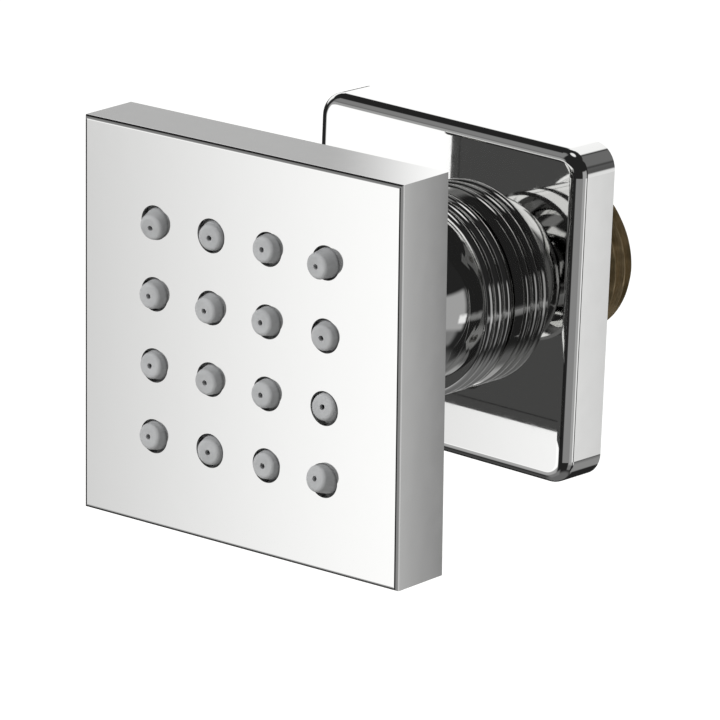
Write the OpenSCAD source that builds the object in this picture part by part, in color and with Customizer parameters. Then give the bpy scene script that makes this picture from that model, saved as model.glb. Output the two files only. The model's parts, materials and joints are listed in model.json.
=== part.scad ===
// Square shower jet on a ball swivel, with a square wall flange and a half inch inlet thread.
// The wall plane is y = 0, the inlet runs along +Y into the wall, the jets spray towards -Y.

/* [Head] */
// Width and height of the square head
head_w = 50; // [46:1:60]
// Depth of the head, front to back
head_t = 8.6; // [8.2:0.2:12]
// Rounding of the head's front edges
head_edge = 0.5; // [0.2:0.1:1]
// Thickness of the front plate
plate_t = 1.4; // [1.2:0.1:1.6]
// Thickness of the shell's sides beside the back plate
side_t = 1.4; // [1:0.1:2]
// Width of the ledge that the back gasket lies on
ledge_w = 1.2; // [0.8:0.1:1.6]
// Thickness of the back plate
back_t = 2; // [1.8:0.1:2.2]
// Thickness of the gasket under the back plate
back_gasket_t = 0.6; // [0.4:0.1:0.8]
// Distance of the corner screws from the head's sides
corner_inset = 5; // [5:0.1:6]
// Material round each corner screw
corner_wall = 1; // [0.8:0.1:1.2]
// Diameter of the corner screws
corner_screw_d = 2.4; // [2:0.1:2.5]
// Diameter of the corner screws' countersunk heads
corner_head_d = 4.4; // [4:0.1:4.8]
// Length of the corner screws
corner_screw_len = 5; // [4:0.1:5.5]

/* [Nozzles] */
// Nozzles along each side of the square grid
nozzle_rows = 4; // [3:1:4]
// Distance between neighbouring nozzles
nozzle_pitch = 9; // [8.5:0.1:10]
// Diameter of the holes in the front plate
nozzle_hole_d = 4.3; // [4:0.1:5]
// Gap round a nozzle's root in its hole
nozzle_gap = 0.26; // [0.25:0.01:0.4]
// Diameter of a nozzle's tip
nozzle_tip_d = 3.3; // [2.6:0.1:3.4]
// Rounding of a nozzle's tip
nozzle_tip_round = 0.5; // [0.3:0.1:0.6]
// Diameter of the orifice in a nozzle's tip
orifice_d = 0.7; // [0.5:0.1:1]
// Length of the straight orifice
orifice_len = 0.6; // [0.4:0.1:0.7]
// Diameter of the feed hole behind a nozzle
feed_d = 2.4; // [1.6:0.1:2.6]
// Thickness of the nozzle mat's sheet
mat_t = 1.2; // [1:0.1:1.4]
// Thickness of the plate that holds the mat
retainer_t = 1.6; // [1.5:0.1:1.8]
// Diameter of the posts that the retainer is screwed to
post_d = 3.8; // [3.4:0.1:4]
// Diameter of the retainer's screws
retainer_screw_d = 1.7; // [1.4:0.1:1.8]
// Diameter of their pan heads
pan_head_d = 3.6; // [3:0.1:3.8]
// Thickness of their pan heads
pan_head_t = 0.8; // [0.6:0.1:1]

/* [Neck] */
// Diameter of the ball
ball_d = 17; // [16.4:0.1:20.4]
// Diameter of the shank behind the ball
shank_d = 7.2; // [6.4:0.1:7.6]
// Diameter of the shoulder and of the head's boss
boss_d = 19; // [17:0.1:20]
// Length of the head's boss
boss_len = 9; // [7:0.1:14]
// Least space between the nut and the tilted shoulder
shoulder_gap = 1; // [0.6:0.1:2]
// Thickness of the shoulder
shoulder_t = 3.2; // [2:0.1:4]
// Diameter of the threaded spigot in the boss
spigot_d = 11.8; // [10:0.1:12]
// Solid end of the boss under the spigot
boss_floor = 1.7; // [1:0.1:2.5]
// Diameter of the waterway through the stud
stud_bore_d = 4.4; // [3:0.1:4.6]
// Thickness of the washer under the shoulder
neck_washer_t = 0.8; // [0.5:0.1:1.2]

/* [Swivel] */
// Tilt of the ball stud to each side
tilt_max = 15; // [5:1:15]
// Thickness of the rings that the ball turns in
ring_t = 0.8; // [0.7:0.05:0.9]
// Running clearance on each side of those rings
ring_gap = 0.05; // [0.03:0.01:0.08]
// Distance from the flange's front to the ball's centre
ball_ahead = 6.5; // [6:0.1:7.5]
// Wall of the nut's dome
dome_t = 1.6; // [1.4:0.1:1.8]
// Diameter of the nut's opening
lip_open_d = 13.3; // [12.8:0.1:13.6]
// Play between the ball and the edge of that opening
lip_gap = 0.26; // [0.2:0.02:0.3]
// Thickness of the nut's lip over the ball
lip_t = 0.8; // [0.6:0.1:1]
// Wall of the nut round its thread
nut_wall = 1.15; // [1:0.05:1.6]
// Ribs round the nut
rib_count = 3; // [2:1:3]
// Distance between the ribs
rib_pitch = 1.7; // [1.6:0.05:1.8]
// Radius of a rib
rib_r = 0.75; // [0.5:0.05:0.8]
// Thickness of the seal between the nut and the inlet body
nut_gasket_t = 0.6; // [0.4:0.1:0.8]

/* [Flange] */
// Width and height of the square flange
flange_w = 42.6; // [38:0.2:60]
// Depth of the flange, from the wall to its front
flange_t = 6.8; // [6.4:0.1:10]
// Radius of the flange's corners
flange_corner = 3.2; // [2.8:0.1:8]
// Rounding of the flange's front edges
flange_edge = 1.6; // [0.8:0.1:2.4]
// Thickness of the flange's front wall
flange_front_t = 1.5; // [1.2:0.1:2]
// Thickness of the flange's sides
flange_side_t = 1.3; // [1:0.1:2]
// Wall of the collar inside the flange
collar_t = 2; // [1.8:0.1:2.4]
// Width of the foam seal behind the flange
wall_seal_w = 4; // [2:0.1:4]

/* [Inlet] */
// Outside diameter of the inlet thread
thread_d = 20.955; // [20.9:0.005:21]
// Length of the inlet thread
thread_len = 19; // [16:0.5:24]
// Chamfer at the end of the thread
thread_chamfer = 0.8; // [0.5:0.1:1.2]
// Wall of the inlet body round the ball's cup
cup_wall = 1.6; // [1.4:0.1:2]
// Diameter of the waterway
bore_d = 7.5; // [6:0.1:8]
// Size of the hexagon socket, across its flats
hex_af = 8; // [8:0.1:9]
// Depth of the hexagon socket
hex_deep = 8; // [5:0.5:9]
// Diameter of the inlet filter
strainer_d = 14.5; // [13.5:0.1:15]
// Thickness of the inlet filter's rim
strainer_t = 1.9; // [1.5:0.1:2.4]
// Width of that rim
strainer_rim_w = 1.9; // [1.5:0.1:2.4]
// Thickness of the filter's mesh
mesh_t = 0.4; // [0.3:0.1:0.6]
// Diameter of the flow limiter
limiter_d = 11.9; // [10:0.1:12]
// Thickness of the flow limiter
limiter_t = 3; // [2:0.1:4]
// Diameter of the limiter's orifice
limiter_hole_d = 3; // [2:0.1:4]

/* [Pose] */
// How far the head nods down as it is set
rest_nod = 1.2; // [-10:0.1:10]
// How far the head swings to its left as it is set
rest_swing = 1.4; // [-10:0.1:10]
// How far the head is turned about its own axis as it is set
rest_spin = -1; // [-45:0.5:45]

/* [Hidden] */
$fn = 64;
// Play between pieces that are only laid together
play = 0.1;
// Play between a screw thread and its hole
thread_play = 0.05;
// How far a cut runs past a face
cut = 1;

// The soft nozzles stand and lean a little unevenly: each list has a row of nozzles to a line
nozzle_reach = [[1.2, 0.8, 1.2, 1.7],
                [1.2, 1.3, 1.3, 1.0],
                [1.0, 1.2, 1.2, 0.7],
                [1.1, 0.8, 0.9, 1.4]];
nozzle_side_lean = [[6, 9, 0, -3],
                    [1, 1, -1, 5],
                    [2, 3, 0, 6],
                    [0, 8, 3, -6]];
nozzle_drop_lean = [[10, 2, -4, 3],
                    [0, 3, -3, 1],
                    [-4, 3, -2, -10],
                    [-4, 0, -4, -10]];

head_half = head_w / 2;
rebate_half = head_half - side_t;
cavity_half = rebate_half - ledge_w;
mat_half = cavity_half - 0.5;
retainer_y = plate_t + mat_t;
retainer_end_y = retainer_y + retainer_t;
back_y = head_t - back_t;
ledge_y = back_y - back_gasket_t;
grid_half = (nozzle_rows - 1) / 2 * nozzle_pitch;
nozzle_places = [for (row = [0 : nozzle_rows - 1]) for (col = [0 : nozzle_rows - 1]) [row, col]];
nozzle_root_r = nozzle_hole_d / 2 - nozzle_gap;
post_at = grid_half - nozzle_pitch / 2;
post_hole_y = plate_t / 2;
four_corners = [[-1, -1], [-1, 1], [1, -1], [1, 1]];
corner_at = head_half - corner_inset;
corner_block_from = corner_at - corner_screw_d / 2 - corner_wall;
corner_head_t = (corner_head_d - corner_screw_d) / 2 + 0.3;

ball_r = ball_d / 2;
ring_in_r = ball_r + ring_gap;
ring_out_r = ring_in_r + ring_t;
cup_r = ring_out_r + ring_gap;
dome_r = cup_r + dome_t;
both_tilt = acos(cos(tilt_max) * cos(tilt_max));
// The lip stands where the ball's own radius is a little less than the opening
lip_r = lip_open_d / 2;
lip_at = sqrt(pow(ball_r, 2) - pow(lip_r - lip_gap, 2));
lip_end = lip_at + lip_t;
lip_flare = 1.1;
lip_chamfer = 0.4;
lip_edge_r = sqrt(pow(dome_r, 2) - pow(lip_end, 2));
ring_margin = 1;
front_ring_from = acos(lip_at / cup_r) + tilt_max + ring_margin;
front_ring_to = 88;
rear_ring_from = 112;
rear_ring_to = 134;

// Distances from the ball's centre towards the head
shoulder_at = dome_r * cos(acos(lip_end / dome_r) - both_tilt) + shoulder_gap;
shoulder_end = shoulder_at + shoulder_t;
boss_end = shoulder_end + neck_washer_t;
neck_len = boss_end + boss_len;
spigot_hole = boss_len - boss_floor;
spigot_len = spigot_hole - 0.6 + neck_washer_t;
waterway_r = stud_bore_d / 2 + 1.3;

flange_front_y = -flange_t;
flange_half = flange_w / 2;
ball_y = flange_front_y - ball_ahead;
neck_body_r = cup_r + cup_wall;
nut_shoulder = 2;
body_end = nut_shoulder + nut_gasket_t;
nut_bore_r = neck_body_r + thread_play;
nut_r = nut_bore_r + nut_wall;
nut_land_r = nut_r + rib_r * 0.8;
nut_land_t = 0.8;
nut_front = ball_ahead - 0.5;
first_rib = nut_front - rib_r - (rib_count - 1) * rib_pitch;
flange_hole_r = neck_body_r + 0.2;
collar_r = flange_hole_r + collar_t;
collar_back_y = -1;
o_ring_r = 0.72;
o_ring_mid_r = neck_body_r + o_ring_r + 0.03;
o_ring_y = (flange_front_y + flange_front_t + collar_back_y) / 2;
groove_play = 0.05;
seal_half = flange_half - flange_side_t - play;
thread_r = thread_d / 2;
strainer_y = thread_len - strainer_t - play;
strainer_hole_r = strainer_d / 2 - strainer_rim_w;
mesh_seat = 0.8;

// Turns a profile of radius and place along +Y into a solid round the Y axis
module turned() {
    rotate([-90, 0, 0]) rotate_extrude() children();
}

// Puts what is drawn round the ball's centre at its place, with the head as it is set
module on_ball() {
    translate([0, ball_y, 0]) rotate([rest_nod, 0, rest_swing]) rotate([0, rest_spin, 0]) children();
}

// Puts what is drawn from the head's front face at its place
module on_head() {
    on_ball() translate([0, -neck_len - head_t, 0]) children();
}

// A square slab that faces -Y, from depth y0 to depth y1
module slab(half, y0, y1) {
    translate([-half, y0, -half]) cube([2 * half, y1 - y0, 2 * half]);
}

// A round pin or hole along Y at x and z
module rod(x, z, r, y0, y1) {
    translate([x, y0, z]) rotate([-90, 0, 0]) cylinder(r = r, h = y1 - y0);
}

// Section of a block whose two front edges are rounded
module rounded_front(half, depth, edge) {
    translate([-half, edge]) square([2 * half, depth - edge]);
    translate([-half + edge, 0]) square([2 * (half - edge), depth]);
    for (side = [-1, 1])
        translate([side * (half - edge), edge]) circle(r = edge);
}

// A square block with sharp corners and rounded front edges
module sharp_block(half, depth, edge) {
    intersection() {
        linear_extrude(height = 2 * half, center = true) rounded_front(half, depth, edge);
        rotate([0, 90, 0]) linear_extrude(height = 2 * half, center = true)
            rounded_front(half, depth, edge);
    }
}

// A square block with round corners and rounded front edges
module soft_block(half, depth, corner, edge) {
    span = 2 * (half - corner);
    linear_extrude(height = span, center = true) rounded_front(half, depth, edge);
    rotate([0, 90, 0]) linear_extrude(height = span, center = true) rounded_front(half, depth, edge);
    for (c = four_corners)
        translate([c[0] * (half - corner), 0, c[1] * (half - corner)]) turned() intersection() {
            rounded_front(corner, depth, edge);
            square([corner, depth]);
        }
}

// A square block with round corners and square edges
module plain_block(half, depth, corner) {
    span = 2 * (half - corner);
    translate([-half, 0, -span / 2]) cube([2 * half, depth, span]);
    translate([-span / 2, 0, -half]) cube([span, depth, 2 * half]);
    for (c = four_corners)
        rod(c[0] * (half - corner), c[1] * (half - corner), corner, 0, depth);
}

function nozzle_x(place) = place[1] * nozzle_pitch - grid_half;
function nozzle_z(place) = grid_half - place[0] * nozzle_pitch;
function uneven(list, place) = list[place[0] % len(list)][place[1] % len(list[0])];
// Length of a nozzle from the mat's sheet to its tip
function nozzle_len(place) = plate_t + uneven(nozzle_reach, place);

// Puts what is drawn along +Z on a nozzle's root, leaning as that nozzle does
module on_nozzle(place) {
    translate([nozzle_x(place), plate_t, nozzle_z(place)])
        rotate([90 + uneven(nozzle_drop_lean, place), 0, uneven(nozzle_side_lean, place)])
            children();
}

module nozzle_holes(r, y0, y1) {
    for (place = nozzle_places)
        rod(nozzle_x(place), nozzle_z(place), r, y0, y1);
}

module post_holes(r, y0, y1) {
    for (c = four_corners)
        rod(c[0] * post_at, c[1] * post_at, r, y0, y1);
}

module corner_holes(r, y0, y1) {
    for (c = four_corners)
        rod(c[0] * corner_at, c[1] * corner_at, r, y0, y1);
}

// The square blocks in the head's corners that take the screws, grown by a gap
module corner_blocks(y0, y1, gap) {
    from = corner_block_from - gap;
    size = rebate_half - play - from;
    for (c = four_corners)
        translate([c[0] * (from + size / 2), (y0 + y1) / 2, c[1] * (from + size / 2)])
            cube([size, y1 - y0, size], center = true);
}

// A cross-shaped screwdriver recess, cut into a face at y = 0
module cross_recess(size, deep) {
    for (turn = [0, 90])
        rotate([0, turn, 0]) translate([-size / 2, -deep, -size / 8]) cube([size, deep + cut, size / 4]);
}

module face_shell() {
    color("silver") on_head() difference() {
        union() {
            difference() {
                sharp_block(head_half, head_t, head_edge);
                slab(cavity_half, plate_t, ledge_y + cut);
                slab(rebate_half, ledge_y, head_t + cut);
            }
            corner_blocks(plate_t - play, ledge_y, 0);
            post_holes(post_d / 2, plate_t - play, retainer_y);
        }
        nozzle_holes(nozzle_hole_d / 2, -cut, plate_t + cut);
        corner_holes(corner_screw_d / 2 + thread_play, head_t - corner_screw_len - 0.3, ledge_y + cut);
        post_holes(retainer_screw_d / 2 + thread_play, post_hole_y, retainer_y + cut);
    }
}

// Outside of a nozzle that stands len out of the mat's sheet
module nozzle_outline(len) {
    tip_r = nozzle_tip_d / 2;
    polygon([[0, -mat_t / 2], [nozzle_root_r, -mat_t / 2], [nozzle_root_r, plate_t / 2],
             [tip_r, len - nozzle_tip_round], [tip_r - nozzle_tip_round, len - nozzle_tip_round],
             [tip_r - nozzle_tip_round, len], [0, len]]);
    translate([tip_r - nozzle_tip_round, len - nozzle_tip_round]) circle(r = nozzle_tip_round);
}

// Waterway inside a nozzle: a taper that ends in a short straight orifice
module nozzle_feed(len) {
    polygon([[0, -mat_t - cut], [feed_d / 2, -mat_t - cut], [feed_d / 2, 0],
             [orifice_d / 2, len - orifice_len], [orifice_d / 2, len + cut], [0, len + cut]]);
}

module nozzle_mat() {
    color("gray") on_head() difference() {
        union() {
            difference() {
                slab(mat_half, plate_t, retainer_y);
                corner_blocks(plate_t - cut, retainer_y + cut, play);
                post_holes(post_d / 2 + play, plate_t - cut, retainer_y + cut);
            }
            for (place = nozzle_places)
                on_nozzle(place) rotate_extrude() nozzle_outline(nozzle_len(place));
        }
        for (place = nozzle_places)
            on_nozzle(place) rotate_extrude() nozzle_feed(nozzle_len(place));
    }
}

module mat_retainer() {
    color("whitesmoke") on_head() difference() {
        slab(mat_half, retainer_y, retainer_end_y);
        corner_blocks(retainer_y - cut, retainer_end_y + cut, play);
        nozzle_holes(feed_d / 2 + play, retainer_y - cut, retainer_end_y + cut);
        post_holes(retainer_screw_d / 2 + play, retainer_y - cut, retainer_end_y + cut);
        post_holes(pan_head_d / 2 + play, retainer_end_y - pan_head_t, retainer_end_y + cut);
    }
}

module retainer_screws() {
    color("lightgray") on_head() difference() {
        union() {
            post_holes(pan_head_d / 2, retainer_end_y - pan_head_t, retainer_end_y);
            post_holes(retainer_screw_d / 2, post_hole_y + play, retainer_end_y - pan_head_t / 2);
        }
        for (c = four_corners)
            translate([c[0] * post_at, retainer_end_y, c[1] * post_at])
                cross_recess(pan_head_d / 2, pan_head_t * 0.6);
    }
}

// Outline of a countersunk screw from its tip to its head, grown by a gap
module countersunk(tip_y, gap) {
    shaft_r = corner_screw_d / 2 + gap;
    head_r = corner_head_d / 2 + gap;
    polygon([[0, tip_y], [shaft_r, tip_y], [shaft_r, head_t - corner_head_t],
             [head_r, head_t - 0.3], [head_r, head_t - play + gap * 2], [0, head_t - play + gap * 2]]);
}

module back_plate() {
    boss_r = boss_d / 2;
    boss_fillet = 1.2;
    root_y = head_t - back_t / 2;
    color("silver") on_head() difference() {
        union() {
            slab(rebate_half - play, back_y, head_t);
            turned() difference() {
                union() {
                    translate([0, root_y]) square([boss_r, head_t + boss_len - root_y]);
                    translate([0, root_y]) square([boss_r + boss_fillet, head_t + boss_fillet - root_y]);
                }
                translate([boss_r + boss_fillet, head_t + boss_fillet]) circle(r = boss_fillet);
            }
        }
        rod(0, 0, waterway_r, back_y - cut, head_t + boss_len);
        rod(0, 0, spigot_d / 2 + thread_play, head_t + boss_len - spigot_hole, head_t + boss_len + cut);
        for (c = four_corners)
            translate([c[0] * corner_at, 0, c[1] * corner_at]) turned() countersunk(back_y - cut, play);
    }
}

module back_gasket() {
    color("dimgray") on_head() difference() {
        union() {
            difference() {
                slab(rebate_half - play, ledge_y, back_y);
                slab(cavity_half, ledge_y - cut, back_y + cut);
            }
            corner_blocks(ledge_y, back_y, 0);
        }
        corner_holes(corner_screw_d / 2 + play, ledge_y - cut, back_y + cut);
    }
}

module back_screws() {
    color("lightgray") on_head()
        for (c = four_corners)
            translate([c[0] * corner_at, 0, c[1] * corner_at]) difference() {
                turned() countersunk(head_t - corner_screw_len, 0);
                translate([0, head_t - play, 0]) cross_recess(corner_head_d * 0.6, 0.8);
            }
}

module ball_stud() {
    mouth_r = ball_r / 2;
    edge = 0.4;
    spigot_end = shoulder_end + spigot_len;
    color("silver") on_ball() turned() difference() {
        union() {
            intersection() {
                circle(r = ball_r, $fn = 128);
                translate([0, -ball_r]) square([ball_r, 2 * ball_r]);
            }
            translate([0, -shoulder_at - cut]) square([shank_d / 2, shoulder_at]);
            polygon([[0, -shoulder_end], [boss_d / 2 - edge, -shoulder_end],
                     [boss_d / 2, -shoulder_end + edge], [boss_d / 2, -shoulder_at - edge],
                     [boss_d / 2 - edge, -shoulder_at], [0, -shoulder_at]]);
            translate([0, -spigot_end]) square([spigot_d / 2, spigot_len + edge]);
        }
        polygon([[0, -spigot_end - cut], [stud_bore_d / 2, -spigot_end - cut], [stud_bore_d / 2, 0],
                 [mouth_r, ball_r * 0.86], [mouth_r, ball_r + cut], [0, ball_r + cut]]);
    }
}

module neck_washer() {
    color("dimgray") on_ball() difference() {
        rod(0, 0, boss_d / 2 - 0.5, -boss_end, -shoulder_end);
        rod(0, 0, spigot_d / 2 + play, -boss_end - cut, -shoulder_end + cut);
    }
}

// Ring between two spheres, from one angle to another, counted from the spray direction
module ball_ring(from, to) {
    far = 3 * ring_out_r;
    turned() intersection() {
        difference() {
            circle(r = ring_out_r, $fn = 128);
            circle(r = ring_in_r, $fn = 128);
        }
        polygon([[0, 0], [far * sin(from), -far * cos(from)], [far * sin(to), -far * cos(to)]]);
    }
}

module front_slip_ring() {
    color("white") on_ball() ball_ring(front_ring_from, front_ring_to);
}

module rear_seat_ring() {
    color("black") on_ball() ball_ring(rear_ring_from, rear_ring_to);
}

module swivel_nut() {
    slope = lip_end + nut_shoulder;
    color("silver") translate([0, ball_y, 0]) turned() difference() {
        union() {
            intersection() {
                circle(r = dome_r, $fn = 128);
                polygon([[0, -lip_end], [lip_edge_r - lip_chamfer, -lip_end],
                         [lip_edge_r - lip_chamfer + slope, nut_shoulder], [0, nut_shoulder]]);
            }
            translate([0, ball_ahead - nut_front]) square([nut_r, nut_front]);
            translate([0, ball_ahead - nut_land_t]) square([nut_land_r, nut_land_t]);
            for (rib = [0 : rib_count - 1])
                translate([nut_r, ball_ahead - first_rib - rib * rib_pitch]) circle(r = rib_r);
        }
        translate([0, nut_shoulder]) square([nut_bore_r, ball_ahead + cut]);
        square([cup_r, nut_shoulder + cut]);
        intersection() {
            circle(r = cup_r, $fn = 128);
            translate([0, -lip_at]) square([cup_r, lip_at + cut]);
        }
        polygon([[0, -lip_at + cut], [lip_r, -lip_at + cut], [lip_r, -lip_at],
                 [lip_r + lip_flare, -lip_end], [lip_r + lip_flare, -lip_end - cut], [0, -lip_end - cut]]);
    }
}

module nut_gasket() {
    color("dimgray") translate([0, ball_y, 0]) difference() {
        rod(0, 0, neck_body_r - play, nut_shoulder, body_end);
        rod(0, 0, cup_r + play, nut_shoulder - cut, body_end + cut);
    }
}

module wall_flange() {
    inside_y = flange_front_y + flange_front_t;
    color("silver") difference() {
        union() {
            difference() {
                translate([0, flange_front_y, 0])
                    soft_block(flange_half, flange_t, flange_corner, flange_edge);
                translate([0, inside_y, 0])
                    plain_block(flange_half - flange_side_t, flange_t, flange_corner - flange_side_t);
            }
            rod(0, 0, collar_r, inside_y - play, collar_back_y);
        }
        rod(0, 0, flange_hole_r, flange_front_y - cut, cut);
        rod(0, 0, o_ring_mid_r + o_ring_r + groove_play,
            o_ring_y - o_ring_r - groove_play, o_ring_y + o_ring_r + groove_play);
    }
}

module flange_o_ring() {
    color("black") translate([0, o_ring_y, 0]) turned() translate([o_ring_mid_r, 0]) circle(r = o_ring_r);
}

module wall_seal() {
    inside_y = flange_front_y + flange_front_t;
    hole_corner = 1.5;
    color("dimgray") difference() {
        translate([0, inside_y, 0])
            plain_block(seal_half, -inside_y, flange_corner - flange_side_t - play);
        translate([0, inside_y - cut, 0])
            plain_block(seal_half - wall_seal_w, 2 * cut - inside_y, hole_corner);
    }
}

module inlet_body() {
    limiter_y = strainer_y - limiter_t;
    cup_floor = sqrt(pow(cup_r, 2) - pow(bore_d / 2, 2));
    color("goldenrod") difference() {
        turned() difference() {
            union() {
                translate([0, ball_y + body_end]) square([neck_body_r, -ball_y - body_end]);
                polygon([[0, -cut], [thread_r, -cut], [thread_r, thread_len - thread_chamfer],
                         [thread_r - thread_chamfer, thread_len], [0, thread_len]]);
            }
            translate([0, ball_y]) intersection() {
                circle(r = cup_r, $fn = 128);
                square([cup_r, cup_r]);
            }
            translate([0, ball_y]) square([bore_d / 2, thread_len - ball_y + cut]);
            translate([0, limiter_y]) square([limiter_d / 2 + thread_play, thread_len]);
            translate([0, strainer_y]) square([strainer_d / 2 + thread_play, thread_len]);
        }
        translate([0, ball_y + cup_floor - cut, 0]) rotate([-90, 0, 0])
            cylinder(d = hex_af / cos(30), h = hex_deep + cut, $fn = 6);
    }
}

module flow_limiter() {
    hub_r = limiter_hole_d / 2 + 1;
    rim_w = 0.9;
    color("seagreen") turned() difference() {
        translate([0, strainer_y - limiter_t]) square([limiter_d / 2, limiter_t]);
        translate([0, strainer_y - limiter_t - cut]) square([limiter_hole_d / 2, limiter_t + 2 * cut]);
        translate([hub_r, strainer_y - limiter_t / 3])
            square([limiter_d / 2 - hub_r - rim_w, limiter_t]);
    }
}

module strainer_rim() {
    color("black") turned() difference() {
        translate([strainer_hole_r, strainer_y]) square([strainer_rim_w, strainer_t]);
        translate([0, strainer_y + (strainer_t - mesh_t) / 2]) square([strainer_hole_r + mesh_seat, mesh_t]);
    }
}

module strainer_mesh() {
    color("lightgray")
        rod(0, 0, strainer_hole_r + mesh_seat - play / 2,
            strainer_y + (strainer_t - mesh_t) / 2, strainer_y + (strainer_t + mesh_t) / 2);
}

face_shell();
nozzle_mat();
mat_retainer();
retainer_screws();
back_plate();
back_gasket();
back_screws();
ball_stud();
neck_washer();
front_slip_ring();
rear_seat_ring();
swivel_nut();
nut_gasket();
wall_flange();
flange_o_ring();
wall_seal();
inlet_body();
flow_limiter();
strainer_rim();
strainer_mesh();
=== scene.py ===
# Square shower jet: finishes for every node, the inlet's thread, the filter's woven wire,
# a pale floor, soft studio light and the camera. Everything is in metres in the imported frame.
import json
import math

import bmesh
import bpy
from mathutils import Matrix, Vector


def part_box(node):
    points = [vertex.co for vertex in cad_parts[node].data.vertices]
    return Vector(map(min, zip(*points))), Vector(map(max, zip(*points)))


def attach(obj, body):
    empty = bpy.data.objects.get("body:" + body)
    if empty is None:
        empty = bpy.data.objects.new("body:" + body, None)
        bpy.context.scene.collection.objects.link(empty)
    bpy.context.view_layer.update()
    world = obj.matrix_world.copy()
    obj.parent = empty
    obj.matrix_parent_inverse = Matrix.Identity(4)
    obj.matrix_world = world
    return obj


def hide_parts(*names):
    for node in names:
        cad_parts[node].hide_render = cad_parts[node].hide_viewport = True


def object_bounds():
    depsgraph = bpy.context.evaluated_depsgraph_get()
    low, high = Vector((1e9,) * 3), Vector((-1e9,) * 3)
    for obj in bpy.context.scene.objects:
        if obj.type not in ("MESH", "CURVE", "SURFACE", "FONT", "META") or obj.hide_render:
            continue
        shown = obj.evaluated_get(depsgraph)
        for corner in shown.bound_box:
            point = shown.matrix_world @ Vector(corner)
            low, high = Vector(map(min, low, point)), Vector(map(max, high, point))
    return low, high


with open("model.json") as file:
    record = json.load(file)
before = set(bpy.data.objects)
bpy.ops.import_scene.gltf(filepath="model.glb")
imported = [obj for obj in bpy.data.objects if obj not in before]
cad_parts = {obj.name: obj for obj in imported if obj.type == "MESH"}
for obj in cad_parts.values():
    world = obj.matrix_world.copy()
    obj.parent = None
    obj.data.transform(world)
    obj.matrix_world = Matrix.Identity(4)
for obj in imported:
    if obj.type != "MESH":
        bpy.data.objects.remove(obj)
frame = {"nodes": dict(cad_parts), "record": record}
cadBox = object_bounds()
scene = bpy.context.scene
mm = 0.001


def toLinear(hexColour):
    # sRGB hex to the linear colour that the shaders take
    channels = [int(hexColour[i:i + 2], 16) / 255 for i in (1, 3, 5)]
    linear = [c / 12.92 if c <= 0.04045 else ((c + 0.055) / 1.055) ** 2.4 for c in channels]
    return (*linear, 1.0)


def addNode(tree, kind, settings=None, links=None):
    # A setting is an input's number or name, or else a property of the node
    node = tree.nodes.new(kind)
    for name, value in (settings or {}).items():
        if isinstance(name, str) and name not in node.inputs:
            setattr(node, name, value)
        else:
            node.inputs[name].default_value = value
    for name, source in (links or {}).items():
        tree.links.new(source, node.inputs[name])
    return node


def startMaterial(name):
    # An empty material with its shader and the piece's own coordinates
    material = bpy.data.materials.new(name)
    material.use_nodes = True
    tree = material.node_tree
    tree.nodes.clear()
    shader = addNode(tree, "ShaderNodeBsdfPrincipled")
    addNode(tree, "ShaderNodeOutputMaterial", links={"Surface": shader.outputs["BSDF"]})
    place = addNode(tree, "ShaderNodeTexCoord").outputs["Object"]
    return material, tree, shader, place


def perMetre(sizeMm):
    # Texture scale that makes one feature of the pattern this many millimetres
    return 1 / (sizeMm * mm)


def grain(tree, place, sizeMm, detail=2.0, seed=0.0):
    # Noise whose lumps are sizeMm across
    shifted = addNode(tree, "ShaderNodeVectorMath", {"operation": "ADD", 1: (seed, seed * 0.7, -seed)}, {0: place})
    return addNode(tree, "ShaderNodeTexNoise", {"Scale": perMetre(sizeMm), "Detail": detail},
                   {"Vector": shifted.outputs[0]}).outputs["Fac"]


def spread(tree, source, low, high, fromLow=0.3, fromHigh=0.7):
    # Stretches a noise to the range from low to high
    return addNode(tree, "ShaderNodeMapRange", {"From Min": fromLow, "From Max": fromHigh, "To Min": low, "To Max": high},
                   {"Value": source}).outputs["Result"]


def blendColours(tree, factor, firstHex, secondHex):
    mix = addNode(tree, "ShaderNodeMix", {"data_type": "RGBA"}, {0: factor})
    mix.inputs[6].default_value = toLinear(firstHex)
    mix.inputs[7].default_value = toLinear(secondHex)
    return mix.outputs[2]


def relief(tree, shader, height, depthMm, strength=1.0, under=None):
    # Bump whose full height is depthMm
    links = {"Height": height}
    if under is not None:
        links["Normal"] = under
    bump = addNode(tree, "ShaderNodeBump", {"Strength": strength, "Distance": depthMm * mm}, links)
    tree.links.new(bump.outputs["Normal"], shader.inputs["Normal"])
    return bump.outputs["Normal"]


# Chrome plating, polished on a buffing wheel: a mirror with the faintest swell and haze
chromeLook = {"tint": "#e7e7e6", "swellMm": 5.0, "swellDepthMm": 0.0008, "hazeMm": 2.2,
              "roughLow": 0.02, "roughHigh": 0.045}


def chromePlatePolished():
    material, tree, shader, place = startMaterial("chromePlatePolished")
    shader.inputs["Metallic"].default_value = 1.0
    shader.inputs["Base Color"].default_value = toLinear(chromeLook["tint"])
    haze = grain(tree, place, chromeLook["hazeMm"], 4.0)
    rough = spread(tree, haze, chromeLook["roughLow"], chromeLook["roughHigh"])
    tree.links.new(rough, shader.inputs["Roughness"])
    relief(tree, shader, grain(tree, place, chromeLook["swellMm"], 1.0, 3.0), chromeLook["swellDepthMm"])
    return material


# Silicone moulded in a blasted steel tool: soft, matt, a little cloudy, slightly see-through at thin edges
siliconeLook = {"light": "#b3b4b5", "dark": "#a6a7a8", "cloudMm": 2.5, "grainMm": 0.18, "grainDepthMm": 0.012,
                "roughLow": 0.46, "roughHigh": 0.6}


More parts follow.
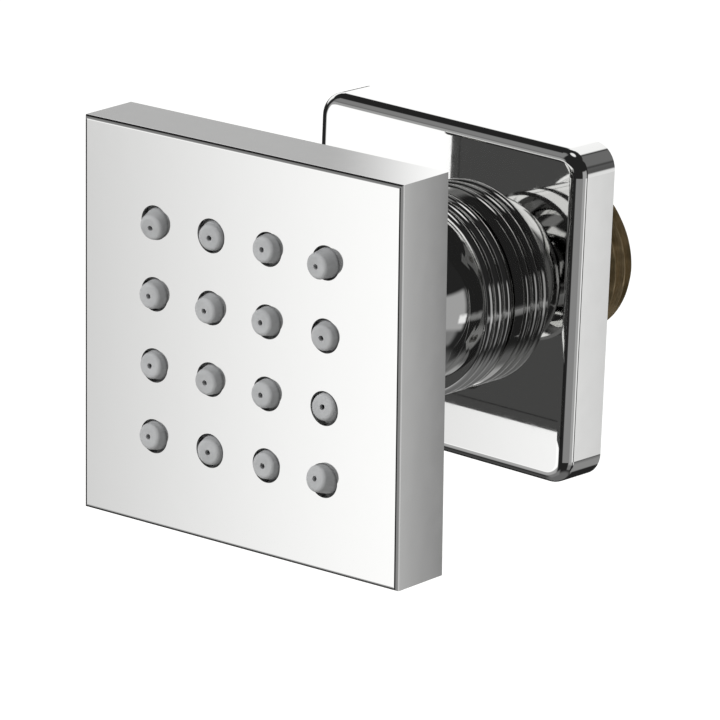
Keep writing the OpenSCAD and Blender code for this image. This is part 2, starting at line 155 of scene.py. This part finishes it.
def siliconeMoulded():
    material, tree, shader, place = startMaterial("siliconeMoulded")
    cloud = grain(tree, place, siliconeLook["cloudMm"], 3.0)
    tree.links.new(blendColours(tree, spread(tree, cloud, 0, 1), siliconeLook["dark"], siliconeLook["light"]),
                   shader.inputs["Base Color"])
    fine = grain(tree, place, siliconeLook["grainMm"], 2.0, 5.0)
    tree.links.new(spread(tree, fine, siliconeLook["roughLow"], siliconeLook["roughHigh"]), shader.inputs["Roughness"])
    relief(tree, shader, fine, siliconeLook["grainDepthMm"])
    shader.inputs["Subsurface Weight"].default_value = 0.12
    shader.inputs["Subsurface Scale"].default_value = 0.4 * mm
    shader.inputs["Subsurface Radius"].default_value = (1.0, 1.0, 1.0)
    return material


# Acetal, injection moulded: waxy white with a low sheen
acetalLook = {"light": "#ecebe5", "dark": "#dddcd5", "cloudMm": 3.0, "flowMm": 0.5, "flowDepthMm": 0.01}


def acetalMoulded():
    material, tree, shader, place = startMaterial("acetalMoulded")
    cloud = grain(tree, place, acetalLook["cloudMm"], 3.0)
    tree.links.new(blendColours(tree, spread(tree, cloud, 0, 1), acetalLook["dark"], acetalLook["light"]),
                   shader.inputs["Base Color"])
    tree.links.new(spread(tree, cloud, 0.3, 0.42), shader.inputs["Roughness"])
    relief(tree, shader, grain(tree, place, acetalLook["flowMm"], 2.0, 2.0), acetalLook["flowDepthMm"])
    return material


# Stainless steel, cold headed and tumbled: bright grey with a fine all-over frosting
stainlessLook = {"light": "#c4c3bf", "dark": "#a5a4a0", "patchMm": 0.8, "grainMm": 0.12, "grainDepthMm": 0.004}


def stainlessTumbled():
    material, tree, shader, place = startMaterial("stainlessTumbled")
    shader.inputs["Metallic"].default_value = 1.0
    patch = grain(tree, place, stainlessLook["patchMm"], 3.0)
    tree.links.new(blendColours(tree, spread(tree, patch, 0, 1), stainlessLook["dark"], stainlessLook["light"]),
                   shader.inputs["Base Color"])
    tree.links.new(spread(tree, patch, 0.22, 0.36), shader.inputs["Roughness"])
    relief(tree, shader, grain(tree, place, stainlessLook["grainMm"], 2.0, 1.0), stainlessLook["grainDepthMm"])
    return material


# Nitrile rubber, compression moulded: near black, dull, with a faint bloom
rubberLook = {"light": "#2c2c2e", "dark": "#161617", "bloomMm": 1.5, "grainMm": 0.2, "grainDepthMm": 0.01}


def rubberMoulded():
    material, tree, shader, place = startMaterial("rubberMoulded")
    bloom = grain(tree, place, rubberLook["bloomMm"], 4.0)
    tree.links.new(blendColours(tree, spread(tree, bloom, 0, 1), rubberLook["dark"], rubberLook["light"]),
                   shader.inputs["Base Color"])
    tree.links.new(spread(tree, bloom, 0.5, 0.68), shader.inputs["Roughness"])
    relief(tree, shader, grain(tree, place, rubberLook["grainMm"], 2.0, 4.0), rubberLook["grainDepthMm"])
    return material


# Polyethylene foam, die cut from sheet: charcoal, with small closed cells whose hollows are darkened with painted
# shade, so that their rims look lit
# The darker colour is painted shade for the cell hollows; the other colour is the foam's own charcoal
foamLook = {"wall": "#47474a", "paintedPitShade": "#1e1e20", "cellMm": 0.55, "cellDepthMm": 0.12}


def foamClosedCell():
    material, tree, shader, place = startMaterial("foamClosedCell")
    cells = addNode(tree, "ShaderNodeTexVoronoi", {"Scale": perMetre(foamLook["cellMm"])}, {"Vector": place})
    cellHeightAndPitShade = spread(tree, cells.outputs["Distance"], 0, 1, 0.1, 0.7)
    # Painted shade: the colour goes darker towards each cell's middle, where the bump is lowest
    tree.links.new(blendColours(tree, cellHeightAndPitShade, foamLook["paintedPitShade"], foamLook["wall"]), shader.inputs["Base Color"])
    shader.inputs["Roughness"].default_value = 0.9
    relief(tree, shader, cellHeightAndPitShade, foamLook["cellDepthMm"])
    return material


# Brass, turned and left bare: tool marks run round the axis, and a dull skin of handling takes some of its shine
brassLook = {"metallic": 0.7, "fresh": "#bfa984", "dull": "#857555", "patchMm": 2.6, "feedMm": 0.16, "feedDepthMm": 0.006}


def brassTurned():
    material, tree, shader, place = startMaterial("brassTurned")
    shader.inputs["Metallic"].default_value = brassLook["metallic"]
    patch = grain(tree, place, brassLook["patchMm"], 5.0)
    tree.links.new(blendColours(tree, spread(tree, patch, 0, 1, 0.35, 0.65), brassLook["fresh"], brassLook["dull"]),
                   shader.inputs["Base Color"])
    tree.links.new(spread(tree, patch, 0.28, 0.45), shader.inputs["Roughness"])
    along = addNode(tree, "ShaderNodeSeparateXYZ", links={0: place}).outputs["Y"]
    turns = addNode(tree, "ShaderNodeMath", {"operation": "MULTIPLY", 1: 2 * math.pi * perMetre(brassLook["feedMm"])},
                    {0: along})
    ridge = addNode(tree, "ShaderNodeMath", {"operation": "SINE"}, {0: turns.outputs[0]})
    relief(tree, shader, ridge.outputs[0], brassLook["feedDepthMm"])
    return material


# ABS, injection moulded in green as such flow limiters are: satin with faint flow lines
absLook = {"light": "#4fa07a", "dark": "#3f8a67", "flowMm": 1.4, "grainMm": 0.3, "grainDepthMm": 0.008}


def absMouldedGreen():
    material, tree, shader, place = startMaterial("absMouldedGreen")
    flow = grain(tree, place, absLook["flowMm"], 3.0)
    tree.links.new(blendColours(tree, spread(tree, flow, 0, 1), absLook["dark"], absLook["light"]),
                   shader.inputs["Base Color"])
    tree.links.new(spread(tree, flow, 0.3, 0.45), shader.inputs["Roughness"])
    relief(tree, shader, grain(tree, place, absLook["grainMm"], 2.0, 6.0), absLook["grainDepthMm"])
    return material


chrome = chromePlatePolished()
silicone = siliconeMoulded()
acetal = acetalMoulded()
stainless = stainlessTumbled()
rubber = rubberMoulded()
foam = foamClosedCell()
brass = brassTurned()
greenAbs = absMouldedGreen()

nodeFinishes = {
    "face_shell": chrome, "back_plate": chrome, "ball_stud": chrome, "swivel_nut": chrome, "wall_flange": chrome,
    "nozzle_mat": silicone,
    "mat_retainer": acetal, "front_slip_ring": acetal,
    "retainer_screws": stainless, "back_screws": stainless, "strainer_mesh": stainless,
    "back_gasket": rubber, "neck_washer": rubber, "rear_seat_ring": rubber, "nut_gasket": rubber,
    "flange_o_ring": rubber, "strainer_rim": rubber,
    "wall_seal": foam, "inlet_body": brass, "flow_limiter": greenAbs,
}
for nodeName, finish in nodeFinishes.items():
    cadMesh = frame["nodes"][nodeName].data
    cadMesh.materials.clear()
    cadMesh.materials.append(finish)
print("finishes:", len(bpy.data.materials), "materials on", len(nodeFinishes), "nodes")


def finishPiece(name, points, faces, material, sharpDegrees, body, stoodFor):
    # Makes a closed mesh, smooths it up to a crease angle, and hands it to the frame
    mesh = bpy.data.meshes.new(name)
    mesh.from_pydata([Vector(p) * mm for p in points], [], faces)
    work = bmesh.new()
    work.from_mesh(mesh)
    bmesh.ops.recalc_face_normals(work, faces=work.faces)
    work.to_mesh(mesh)
    work.free()
    mesh.shade_smooth()
    mesh.set_sharp_from_angle(angle=math.radians(sharpDegrees))
    mesh.materials.append(material)
    piece = bpy.data.objects.new(name, mesh)
    scene.collection.objects.link(piece)
    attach(piece, body)
    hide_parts(stoodFor)
    return piece


# Inlet body: one turned and threaded piece. Radii and places along +Y in millimetres
threadMount = next(m for m in frame["record"]["mounts"] if m["name"] == "inlet_thread")
inletLow, inletHigh = (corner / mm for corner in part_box("inlet_body"))
inlet = {
    "front": inletLow.y, "back": inletHigh.y, "neckRadius": inletHigh.x,
    "crestRadius": threadMount["dims"]["r_mm"], "pitch": 1.814, "threadDepth": 1.162, "runOut": 1.6,
    "chamfer": 0.8, "flat": 0.13, "samplesPerPitch": 14, "columns": 192,
    "cupRadius": 9.4, "ballY": -13.3, "hexAcross": 8.0, "hexEnd": 3.32, "boreRadius": 3.75,
    "limiterRadius": 6.0, "strainerRadius": 7.3, "cupSteps": 14,
}


def threadRadius(y, turn):
    # Radius over the thread at a place along the axis and a share of a turn; it is right-handed
    wave = abs(2 * ((y / inlet["pitch"] - turn) % 1) - 1)
    flank = min(max((wave - inlet["flat"]) / (1 - 2 * inlet["flat"]), 0), 1)
    depth = inlet["threadDepth"] * min(y / inlet["runOut"], 1)
    radius = inlet["crestRadius"] - depth * (1 - flank)
    chamferFrom = inlet["back"] - inlet["chamfer"]
    return min(radius, inlet["crestRadius"] - max(y - chamferFrom, 0) * 1.4)


def inletProfile(turn, strainerY, limiterY):
    # Radius and place of one column of points, round the outside from the front and back through the inside
    hexTurn = math.radians((turn * 360) % 60 - 30)
    hexRadius = inlet["hexAcross"] / 2 / math.cos(hexTurn)
    cupReach = inlet["front"] - inlet["ballY"]
    mouthRadius = math.sqrt(inlet["cupRadius"] ** 2 - cupReach ** 2)
    count = round(inlet["back"] / inlet["pitch"] * inlet["samplesPerPitch"])
    column = [(mouthRadius, inlet["front"]), (inlet["neckRadius"], inlet["front"]), (inlet["neckRadius"], 0)]
    column += [(threadRadius(y, turn), y) for y in (inlet["back"] * i / count for i in range(count + 1))]
    column += [(inlet["strainerRadius"], inlet["back"]), (inlet["strainerRadius"], strainerY),
               (inlet["limiterRadius"], strainerY), (inlet["limiterRadius"], limiterY),
               (inlet["boreRadius"], limiterY), (inlet["boreRadius"], inlet["hexEnd"]),
               (hexRadius, inlet["hexEnd"])]
    for i in range(inlet["cupSteps"]):
        radius = hexRadius + (mouthRadius - hexRadius) * i / inlet["cupSteps"]
        column.append((radius, inlet["ballY"] + math.sqrt(inlet["cupRadius"] ** 2 - radius ** 2)))
    return column


def threadedInlet():
    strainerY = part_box("strainer_rim")[0].y / mm
    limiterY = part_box("flow_limiter")[0].y / mm
    points, faces = [], []
    columns = inlet["columns"]
    for c in range(columns):
        turn = c / columns
        angle = 2 * math.pi * turn
        profile = inletProfile(turn, strainerY, limiterY)
        rows = len(profile)
        points += [(r * math.sin(angle), y, r * math.cos(angle)) for r, y in profile]
    for c in range(columns):
        here, there = c * rows, (c + 1) % columns * rows
        for r in range(rows):
            after = (r + 1) % rows
            faces.append((here + r, here + after, there + after, there + r))
    return finishPiece("inlet_body_threaded", points, faces, brass, 28, "inlet", "inlet_body")


threadedInlet()
print("inlet thread:", round(inlet["back"] / inlet["pitch"], 1), "turns")

# Filter mesh: plain weave of round wire. The wire is a little thicker than the real 0.1 mm one, so that it shows
weave = {"wireRadius": 0.08, "spacing": 0.5, "sides": 6, "stepsPerCrossing": 4}


def sweepWire(points, faces, path, across):
    # A round wire along a path in a plane that holds Y; across is the direction square to that plane
    sides, first = weave["sides"], len(points)
    for i, here in enumerate(path):
        ahead = path[min(i + 1, len(path) - 1)] - path[max(i - 1, 0)]
        lift = across.cross(ahead).normalized()
        for s in range(sides):
            angle = 2 * math.pi * s / sides
            points.append(here + (across * math.cos(angle) + lift * math.sin(angle)) * weave["wireRadius"])
    for i in range(len(path) - 1):
        for s in range(sides):
            a, b = first + i * sides + s, first + i * sides + (s + 1) % sides
            faces.append((a, b, b + sides, a + sides))
    faces.append(tuple(first + s for s in reversed(range(sides))))
    faces.append(tuple(first + (len(path) - 1) * sides + s for s in range(sides)))


def wovenDisc():
    low, high = (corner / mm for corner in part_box("strainer_mesh"))
    middleY, discRadius = (low.y + high.y) / 2, high.x - weave["wireRadius"]
    spacing, steps = weave["spacing"], weave["stepsPerCrossing"]
    points, faces = [], []
    reach = int(discRadius / spacing)
    for alongX in (True, False):
        for k in range(-reach, reach + 1):
            offset = k * spacing
            half = math.sqrt(discRadius ** 2 - offset ** 2)
            count = max(int(2 * half / spacing * steps), 2)
            path = []
            for i in range(count + 1):
                run = -half + 2 * half * i / count
                lift = weave["wireRadius"] * math.cos(math.pi * run / spacing) * (-1) ** k * (1 if alongX else -1)
                path.append(Vector((run, middleY + lift, offset) if alongX else (offset, middleY + lift, run)))
            sweepWire(points, faces, path, Vector((0, 0, 1) if alongX else (1, 0, 0)))
    return finishPiece("strainer_mesh_woven", points, faces, stainless, 50, "inlet", "strainer_mesh")


wovenDisc()
print("filter mesh woven")

# Floor, well below a part that hangs on a wall
floorLook = {"below": 0.12, "half": 6.0, "colour": "#e4e4e2", "patch": 0.25, "glow": 0.6}


def paleFloor():
    half, z = floorLook["half"], -floorLook["below"]
    mesh = bpy.data.meshes.new("studio_floor")
    mesh.from_pydata([(-half, -half, z), (half, -half, z), (half, half, z), (-half, half, z)], [], [(0, 1, 2, 3)])
    floor = bpy.data.objects.new("studio_floor", mesh)
    scene.collection.objects.link(floor)
    material, tree, shader, place = startMaterial("paintedFloorMatt")
    shader.inputs["Base Color"].default_value = toLinear(floorLook["colour"])
    shader.inputs["Roughness"].default_value = 0.9
    shader.inputs["Specular IOR Level"].default_value = 0.0
    # The camera sees a white floor that still takes a shadow
    path = addNode(tree, "ShaderNodeLightPath")
    glow = addNode(tree, "ShaderNodeMath", {"operation": "MULTIPLY", 1: floorLook["glow"]},
                   {0: path.outputs["Is Camera Ray"]})
    shader.inputs["Emission Color"].default_value = (1, 1, 1, 1)
    tree.links.new(glow.outputs[0], shader.inputs["Emission Strength"])
    mesh.materials.append(material)
    floor.visible_glossy = False


paleFloor()

# What polished metal sees: soft-edged cards and dark flags round the part. Angles are in degrees. Azimuth 0 is
# straight in front of the jets, and it grows towards the part's +X side. A later card covers an earlier one
studioBase = 0.02
studioCards = [
    {"name": "ceilingLamp", "az": 0, "el": 90, "half": (200, 12), "soft": (10, 6), "level": 1.0},
    {"name": "floorAllRound", "az": 0, "el": -90, "half": (200, 36), "soft": (10, 18), "level": 0.16},
    {"name": "floorNear", "az": -18, "el": -52, "half": (34, 11), "soft": (20, 10), "level": 0.22},
    {"name": "floorFront", "az": -34, "el": -34, "half": (24, 9), "soft": (16, 8), "level": 0.45},
    {"name": "wallAbove", "az": -44, "el": 9, "half": (18, 11), "soft": (10, 10), "level": 0.4},
    {"name": "ceilingFront", "az": -49, "el": 42, "half": (17, 20), "soft": (10, 14), "level": 0.25},
    {"name": "wallFront", "az": -33, "el": -12, "half": (20, 14), "soft": (8, 4), "level": 1.27},
    {"name": "wallShade", "az": -48.5, "el": -19.3, "half": (8, 3.8), "soft": (7.2, 0.8), "level": 0.38},
    {"name": "backLeft", "az": -136, "el": 14.5, "half": (46, 11), "soft": (16, 6), "level": 1.2},
    {"name": "backHigh", "az": -160, "el": 35, "half": (22, 12), "soft": (8, 6), "level": 1.1},
    {"name": "backLeftDip", "az": -137.2, "el": 14.8, "half": (1.7, 1.2), "soft": (1.2, 0.8), "level": 0.52},
    {"name": "backLeftFlag", "az": -139.5, "el": -15, "half": (30, 12), "soft": (6, 4), "level": 0.085},
    {"name": "rightSideLow", "az": 98, "el": -36, "half": (18, 10), "soft": (12, 8), "level": 0.22},
    {"name": "rightSide", "az": 104, "el": -8, "half": (20, 20), "soft": (8, 6), "level": 0.42},
    {"name": "rightBackHigh", "az": 156, "el": 30, "half": (16, 14), "soft": (8, 8), "level": 0.17},
    {"name": "rightBackLow", "az": 155, "el": -34, "half": (14, 13), "soft": (8, 8), "level": 0.3},
    {"name": "rightBackEnd", "az": 152, "el": -5, "half": (14, 18), "soft": (8, 8), "level": 0.13},
    {"name": "rightBack", "az": 136.7, "el": -15, "half": (5.5, 11), "soft": (2, 6), "level": 0.9},
    {"name": "stripFrontLeft", "az": 56, "el": -16.5, "half": (30, 3.2), "soft": (8, 3), "level": 0.28},
    {"name": "stripLeft", "az": 120, "el": -16.5, "half": (6, 4.5), "soft": (4, 3), "level": 1.0},
]


def studioWorld():
    world = bpy.data.worlds.new("softStudio")
    scene.world = world
    world.use_nodes = True
    tree = world.node_tree
    tree.nodes.clear()
    direction = addNode(tree, "ShaderNodeTexCoord").outputs["Generated"]
    parts = addNode(tree, "ShaderNodeSeparateXYZ", links={0: direction}).outputs
    behind = addNode(tree, "ShaderNodeMath", {"operation": "MULTIPLY", 1: -1.0}, {0: parts["Y"]}).outputs[0]
    azimuth = addNode(tree, "ShaderNodeMath", {"operation": "ARCTAN2"}, {0: parts["X"], 1: behind}).outputs[0]
    azimuth = addNode(tree, "ShaderNodeMath", {"operation": "DEGREES"}, {0: azimuth}).outputs[0]
    elevation = addNode(tree, "ShaderNodeMath", {"operation": "ARCSINE"}, {0: parts["Z"]}).outputs[0]
    elevation = addNode(tree, "ShaderNodeMath", {"operation": "DEGREES"}, {0: elevation}).outputs[0]
    seen = addNode(tree, "ShaderNodeValue")
    seen.outputs[0].default_value = studioBase
    seen = seen.outputs[0]
    for card in studioCards:
        offAz = addNode(tree, "ShaderNodeMath", {"operation": "SUBTRACT", 1: card["az"]}, {0: azimuth}).outputs[0]
        offAz = addNode(tree, "ShaderNodeMath", {"operation": "WRAP", 1: 180.0, 2: -180.0}, {0: offAz}).outputs[0]
        offEl = addNode(tree, "ShaderNodeMath", {"operation": "SUBTRACT", 1: card["el"]}, {0: elevation}).outputs[0]
        masks = []
        for offset, half, soft in zip((offAz, offEl), card["half"], card["soft"]):
            away = addNode(tree, "ShaderNodeMath", {"operation": "ABSOLUTE"}, {0: offset}).outputs[0]
            masks.append(addNode(tree, "ShaderNodeMapRange",
                                 {"interpolation_type": "SMOOTHSTEP", "From Min": half + soft / 2,
                                  "From Max": half - soft / 2}, {"Value": away}).outputs["Result"])
        mask = addNode(tree, "ShaderNodeMath", {"operation": "MULTIPLY"}, {0: masks[0], 1: masks[1]}).outputs[0]
        mix = addNode(tree, "ShaderNodeMix", {"data_type": "FLOAT"}, {0: mask, 2: seen})
        mix.inputs[3].default_value = card["level"]
        seen = mix.outputs[0]
    path = addNode(tree, "ShaderNodeLightPath").outputs
    plain = addNode(tree, "ShaderNodeMix", {"data_type": "FLOAT", 2: lampLevels["surround"]},
                    {0: path["Is Glossy Ray"], 3: seen}).outputs[0]
    shown = addNode(tree, "ShaderNodeMix", {"data_type": "FLOAT", 3: 1.0},
                    {0: path["Is Camera Ray"], 2: plain}).outputs[0]
    background = addNode(tree, "ShaderNodeBackground", links={"Color": shown})
    addNode(tree, "ShaderNodeOutputWorld", links={"Surface": background.outputs[0]})


def fromAngles(azimuth, elevation):
    a, e = math.radians(azimuth), math.radians(elevation)
    return Vector((math.sin(a) * math.cos(e), -math.cos(a) * math.cos(e), math.sin(e)))


# Two large soft lamps; metal doesn't mirror them, it sees the cards
lampLevels = {"surround": 0.42}
lamps = [
    {"name": "keyLamp", "az": -28, "el": 32, "away": 1.1, "size": 0.7, "watts": 8.0},
    {"name": "fillLamp", "az": 60, "el": 45, "away": 1.3, "size": 0.8, "watts": 2.6},
]


def softLamps():
    middle = (cadBox[0] + cadBox[1]) / 2
    for setting in lamps:
        data = bpy.data.lights.new(setting["name"], "AREA")
        data.shape = "DISK"
        data.size = setting["size"]
        data.energy = setting["watts"]
        lamp = bpy.data.objects.new(setting["name"], data)
        scene.collection.objects.link(lamp)
        outward = fromAngles(setting["az"], setting["el"])
        lamp.location = middle + outward * setting["away"]
        lamp.rotation_euler = outward.to_track_quat("Z", "Y").to_euler()
        lamp.visible_glossy = False


studioWorld()
softLamps()
print("studio:", len(studioCards), "cards and", len(lamps), "lamps")

# The photograph's view, on a 720 by 720 frame
view = {"azimuth": 40.50, "elevation": 16.14, "roll": 2.30, "distance": 0.8028, "focalPixels": 6587.6,
        "framePixels": 720, "target": (5.08 * mm, -27.60 * mm, -4.23 * mm)}


def photographView():
    data = bpy.data.cameras.new("photographView")
    data.sensor_width = 36
    data.lens = view["focalPixels"] / view["framePixels"] * data.sensor_width
    camera = bpy.data.objects.new("photographView", data)
    scene.collection.objects.link(camera)
    outward = fromAngles(view["azimuth"], view["elevation"])
    level = Vector((0, 0, 1)).cross(outward).normalized()
    upright = outward.cross(level)
    roll = math.radians(view["roll"])
    right = level * math.cos(roll) + upright * math.sin(roll)
    up = upright * math.cos(roll) - level * math.sin(roll)
    turned = Matrix((right, up, outward)).transposed().to_4x4()
    camera.matrix_world = Matrix.Translation(Vector(view["target"]) + outward * view["distance"]) @ turned
    scene.camera = camera


photographView()
scene.view_settings.view_transform = "Standard"
